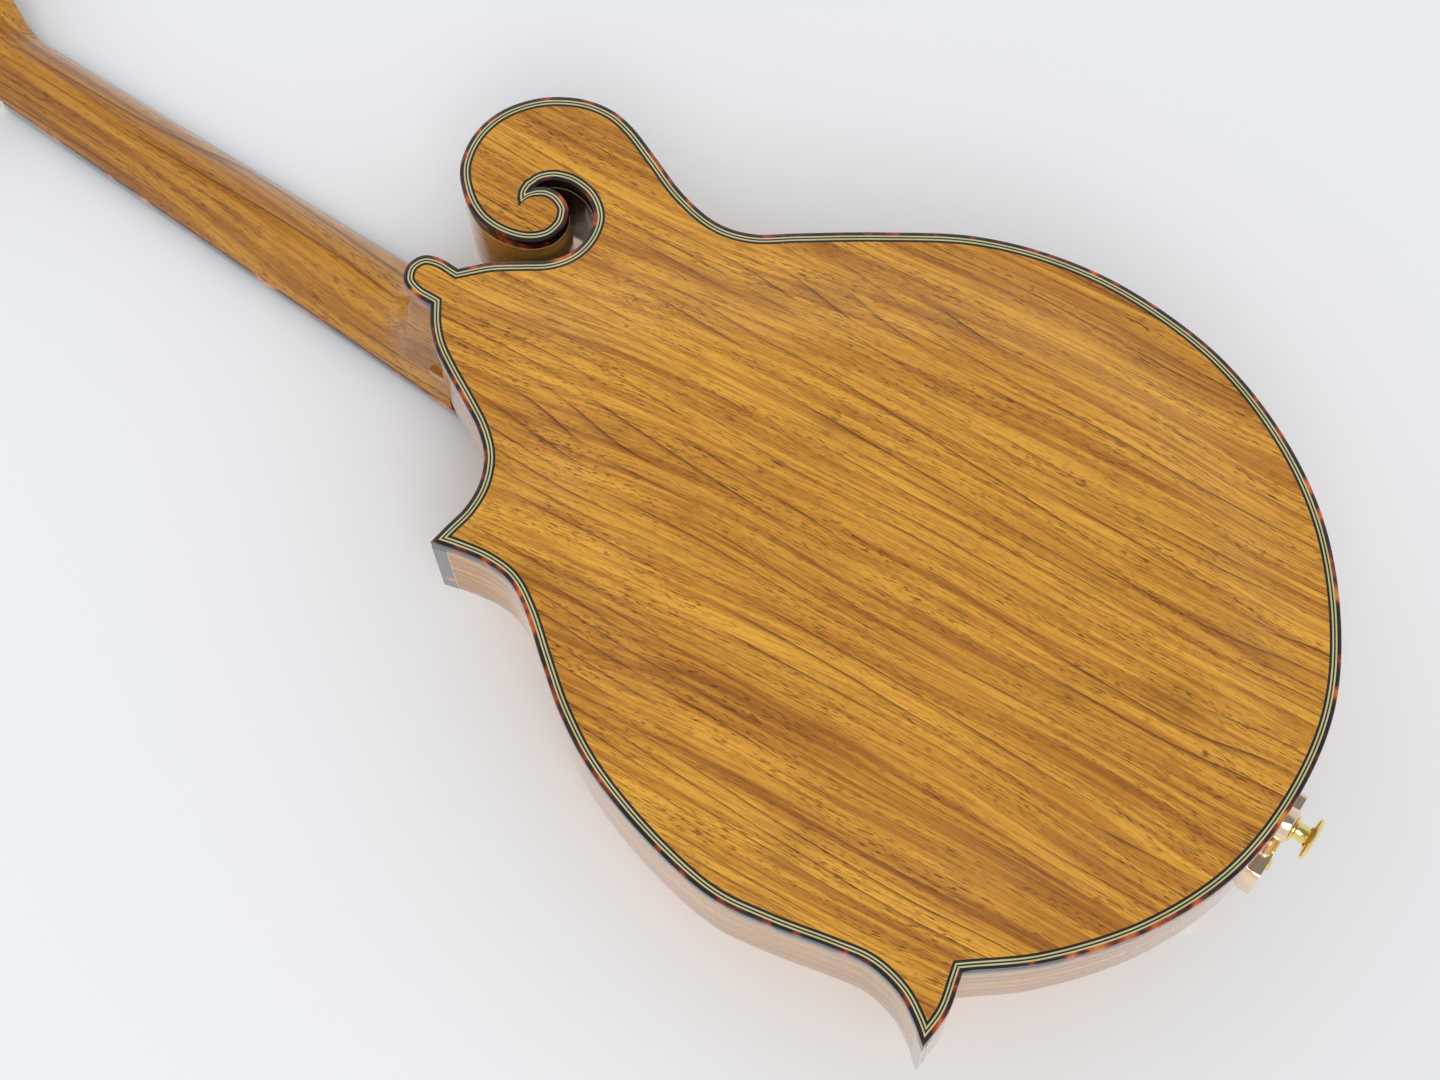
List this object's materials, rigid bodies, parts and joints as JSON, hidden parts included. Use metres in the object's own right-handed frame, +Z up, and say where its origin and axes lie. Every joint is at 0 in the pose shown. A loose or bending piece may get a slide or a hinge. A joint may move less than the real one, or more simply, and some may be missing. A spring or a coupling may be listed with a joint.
{
  "type": "mandolin",
  "caption": "F-style mandolin with a carved back, a scroll and two points, lying on its strings.",
  "frame": {"origin": "under the middle of the whole instrument, on the surface that it lies on", "axes": "+Y from the tail to the headstock, +Z up out of the back, +X to the scroll's side"},
  "size_m": [0.2626, 0.7166, 0.0989],
  "materials": {
    "back_wood": "glossy lacquer, golden brown with dark streaks",
    "neck_wood": "glossy lacquer",
    "top_wood": "glossy lacquer",
    "block_wood": "bare",
    "tortoiseshell": "polished, dark red-brown",
    "ebony": "satin",
    "black_plastic": "polished",
    "bone": "polished",
    "gold": "polished plate",
    "rose_gold": "polished plate",
    "tuner_brass": "polished plate",
    "steel": "plain",
    "bronze_wound": "wound"
  },
  "bodies": {
    "root": {"back_binding": "tortoiseshell", "back_lining": "block_wood", "back_plate": "back_wood", "bridge_base": "ebony", "end_pin_collar": "rose_gold", "fingerboard": "ebony", "head_block": "block_wood", "headstock_overlay": "ebony", "lower_point_block": "block_wood", "lower_point_protector": "tortoiseshell", "neck": "neck_wood", "nut": "bone", "rib_bass": "back_wood", "rib_lower": "back_wood", "rib_shoulder": "back_wood", "rib_slot": "back_wood", "rib_waist": "back_wood", "strap_button": "gold", "string_1": "bronze_wound", "string_2": "bronze_wound", "string_3": "bronze_wound", "string_4": "bronze_wound", "string_5": "steel", "string_6": "steel", "string_7": "steel", "string_8": "steel", "tail_block": "block_wood", "tailpiece_base": "rose_gold", "tailpiece_screw": "gold", "tone_bar_bass": "top_wood", "tone_bar_treble": "top_wood", "top_binding": "tortoiseshell", "top_lining": "block_wood", "top_plate": "top_wood", "truss_rod": "steel", "truss_rod_cover": "black_plastic", "tuner_plate_bass": "gold", "tuner_plate_treble": "gold", "upper_point_block": "block_wood", "upper_point_protector": "tortoiseshell"},
    "saddle": {"bridge_saddle": "ebony"},
    "wheel_bass": {"thumbwheel_bass": "gold"},
    "wheel_treble": {"thumbwheel_treble": "gold"},
    "cover": {"tailpiece_cover": "rose_gold"},
    "worm_1": {"tuner_worm_1": "tuner_brass"},
    "post_1": {"tuner_post_1": "tuner_brass"},
    "worm_2": {"tuner_worm_2": "tuner_brass"},
    "post_2": {"tuner_post_2": "tuner_brass"},
    "worm_3": {"tuner_worm_3": "tuner_brass"},
    "post_3": {"tuner_post_3": "tuner_brass"},
    "worm_4": {"tuner_worm_4": "tuner_brass"},
    "post_4": {"tuner_post_4": "tuner_brass"},
    "worm_5": {"tuner_worm_5": "tuner_brass"},
    "post_5": {"tuner_post_5": "tuner_brass"},
    "worm_6": {"tuner_worm_6": "tuner_brass"},
    "post_6": {"tuner_post_6": "tuner_brass"},
    "worm_7": {"tuner_worm_7": "tuner_brass"},
    "post_7": {"tuner_post_7": "tuner_brass"},
    "worm_8": {"tuner_worm_8": "tuner_brass"},
    "post_8": {"tuner_post_8": "tuner_brass"}
  },
  "joints": [
    {"name": "worm_1_turn", "type": "hinge", "parent": "root", "child": "worm_1", "pos_m": [0.02186, 0.22819, 0.03408], "axis": [1, 0, 0], "continuous": true},
    {"name": "post_1_turn", "type": "hinge", "parent": "root", "child": "post_1", "pos_m": [0.02186, 0.2385, 0.01867], "axis": [0, -0.2353, 0.9719], "continuous": true},
    {"name": "worm_2_turn", "type": "hinge", "parent": "root", "child": "worm_2", "pos_m": [0.02186, 0.25054, 0.03949], "axis": [1, 0, 0], "continuous": true},
    {"name": "post_2_turn", "type": "hinge", "parent": "root", "child": "post_2", "pos_m": [0.02186, 0.26086, 0.02408], "axis": [0, -0.2353, 0.9719], "continuous": true},
    {"name": "worm_3_turn", "type": "hinge", "parent": "root", "child": "worm_3", "pos_m": [0.02186, 0.27289, 0.0449], "axis": [1, 0, 0], "continuous": true},
    {"name": "post_3_turn", "type": "hinge", "parent": "root", "child": "post_3", "pos_m": [0.02186, 0.28321, 0.02949], "axis": [0, -0.2353, 0.9719], "continuous": true},
    {"name": "worm_4_turn", "type": "hinge", "parent": "root", "child": "worm_4", "pos_m": [0.02186, 0.29525, 0.05031], "axis": [1, 0, 0], "continuous": true},
    {"name": "post_4_turn", "type": "hinge", "parent": "root", "child": "post_4", "pos_m": [0.02186, 0.30556, 0.03491], "axis": [0, -0.2353, 0.9719], "continuous": true},
    {"name": "worm_5_turn", "type": "hinge", "parent": "root", "child": "worm_5", "pos_m": [-0.01614, 0.22819, 0.03408], "axis": [1, 0, 0], "continuous": true},
    {"name": "post_5_turn", "type": "hinge", "parent": "root", "child": "post_5", "pos_m": [-0.01614, 0.2385, 0.01867], "axis": [0, -0.2353, 0.9719], "continuous": true},
    {"name": "worm_6_turn", "type": "hinge", "parent": "root", "child": "worm_6", "pos_m": [-0.01614, 0.25054, 0.03949], "axis": [1, 0, 0], "continuous": true},
    {"name": "post_6_turn", "type": "hinge", "parent": "root", "child": "post_6", "pos_m": [-0.01614, 0.26086, 0.02408], "axis": [0, -0.2353, 0.9719], "continuous": true},
    {"name": "worm_7_turn", "type": "hinge", "parent": "root", "child": "worm_7", "pos_m": [-0.01614, 0.27289, 0.0449], "axis": [1, 0, 0], "continuous": true},
    {"name": "post_7_turn", "type": "hinge", "parent": "root", "child": "post_7", "pos_m": [-0.01614, 0.28321, 0.02949], "axis": [0, -0.2353, 0.9719], "continuous": true},
    {"name": "worm_8_turn", "type": "hinge", "parent": "root", "child": "worm_8", "pos_m": [-0.01614, 0.29525, 0.05031], "axis": [1, 0, 0], "continuous": true},
    {"name": "post_8_turn", "type": "hinge", "parent": "root", "child": "post_8", "pos_m": [-0.01614, 0.30556, 0.03491], "axis": [0, -0.2353, 0.9719], "continuous": true},
    {"name": "saddle_lower", "type": "slide", "parent": "root", "child": "saddle", "axis": [0, 0.0818, 0.9967], "range_m": [0, 0.0015]},
    {"name": "wheel_bass_turn", "type": "hinge", "parent": "saddle", "child": "wheel_bass", "pos_m": [0.04136, -0.16343, 0.00846], "axis": [0, 0.0818, 0.9967], "range_deg": [0, 680.2]},
    {"name": "wheel_treble_turn", "type": "hinge", "parent": "saddle", "child": "wheel_treble", "pos_m": [-0.03564, -0.16343, 0.00846], "axis": [0, 0.0818, 0.9967], "range_deg": [0, 680.2]},
    {"name": "cover_slide", "type": "slide", "parent": "root", "child": "cover", "axis": [0, 0.9756, -0.2197], "range_m": [0, 0.012]}
  ],
  "couplings": [
    {"joint": "post_1_turn", "follows": "worm_1_turn", "ratio": -0.071429},
    {"joint": "post_2_turn", "follows": "worm_2_turn", "ratio": -0.071429},
    {"joint": "post_3_turn", "follows": "worm_3_turn", "ratio": -0.071429},
    {"joint": "post_4_turn", "follows": "worm_4_turn", "ratio": -0.071429},
    {"joint": "post_5_turn", "follows": "worm_5_turn", "ratio": -0.071429},
    {"joint": "post_6_turn", "follows": "worm_6_turn", "ratio": -0.071429},
    {"joint": "post_7_turn", "follows": "worm_7_turn", "ratio": -0.071429},
    {"joint": "post_8_turn", "follows": "worm_8_turn", "ratio": -0.071429},
    {"joint": "wheel_bass_turn", "follows": "saddle_lower", "rad_per_m": 7913.3},
    {"joint": "wheel_treble_turn", "follows": "saddle_lower", "rad_per_m": 7913.3}
  ]
}
